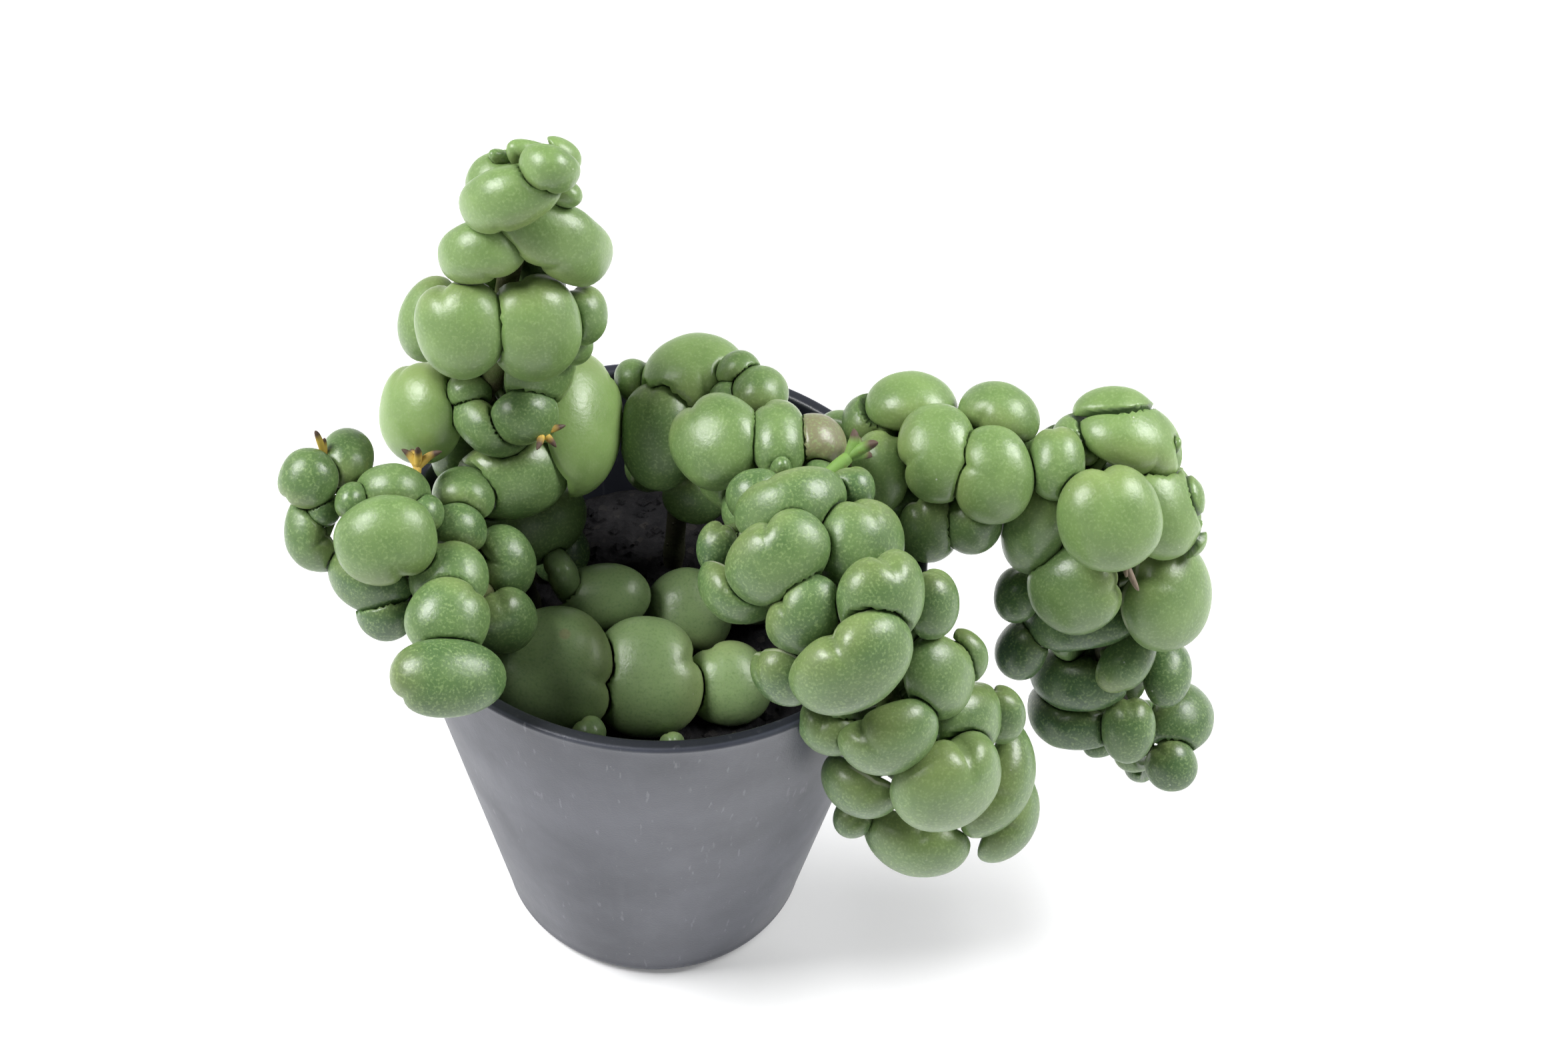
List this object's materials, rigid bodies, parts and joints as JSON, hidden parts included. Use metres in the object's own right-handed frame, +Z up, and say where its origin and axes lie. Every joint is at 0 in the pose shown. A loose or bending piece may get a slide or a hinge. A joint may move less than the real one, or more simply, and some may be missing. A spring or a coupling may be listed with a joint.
{
  "type": "potted dischidia",
  "caption": "Trailing succulent with thick pebble-like green leaves on arching stems, rooted in soil in a plain tapered plastic nursery pot.",
  "frame": {"origin": "centre of the pot's flat resting face", "axes": "+Z up; +X to the viewer's right, towards the arching stem; +Y to the back"},
  "size_m": [0.1865, 0.112, 0.1906],
  "materials": {
    "pot_plastic": "matte, slightly scuffed",
    "soil": "dark, crumbly",
    "stem": "dull",
    "flower_stalk": "dull",
    "leaf": "waxy, semi-gloss",
    "leaf_young": "waxy, semi-gloss"
  },
  "bodies": {
    "root": {"flower_stalk_1": "flower_stalk", "flower_stalk_2": "flower_stalk", "flower_stalk_3": "flower_stalk", "leaf_A01": "leaf", "leaf_A02": "leaf", "leaf_A03": "leaf", "leaf_A04": "leaf", "leaf_A05": "leaf", "leaf_A06": "leaf", "leaf_A07": "leaf", "leaf_A08": "leaf", "leaf_A09": "leaf", "leaf_A10": "leaf", "leaf_A11": "leaf", "leaf_A12": "leaf", "leaf_B01": "leaf", "leaf_B02": "leaf", "leaf_B03": "leaf", "leaf_B04": "leaf", "leaf_B05": "leaf", "leaf_B06": "leaf", "leaf_C01": "leaf", "leaf_C02": "leaf", "leaf_C03": "leaf", "leaf_C04": "leaf", "leaf_C05": "leaf", "leaf_C06": "leaf", "leaf_C07": "leaf", "leaf_C08": "leaf", "leaf_C09": "leaf", "leaf_C10": "leaf", "leaf_C11": "leaf", "leaf_C12": "leaf", "leaf_D01": "leaf", "leaf_D02": "leaf", "leaf_D03": "leaf", "leaf_D04": "leaf", "leaf_D05": "leaf", "leaf_D06": "leaf", "leaf_D07": "leaf", "leaf_D08": "leaf", "leaf_D09": "leaf", "leaf_D10": "leaf", "leaf_D11": "leaf", "leaf_D12": "leaf", "leaf_E01": "leaf_young", "leaf_E02": "leaf_young", "leaf_E03": "leaf_young", "leaf_E04": "leaf_young", "leaf_E05": "leaf_young", "leaf_K01": "leaf", "leaf_K02": "leaf", "leaf_K03": "leaf", "pot": "pot_plastic", "soil": "soil", "stem_A": "stem", "stem_B": "stem", "stem_C": "stem", "stem_D": "stem", "stem_K": "stem"}
  },
  "joints": []
}
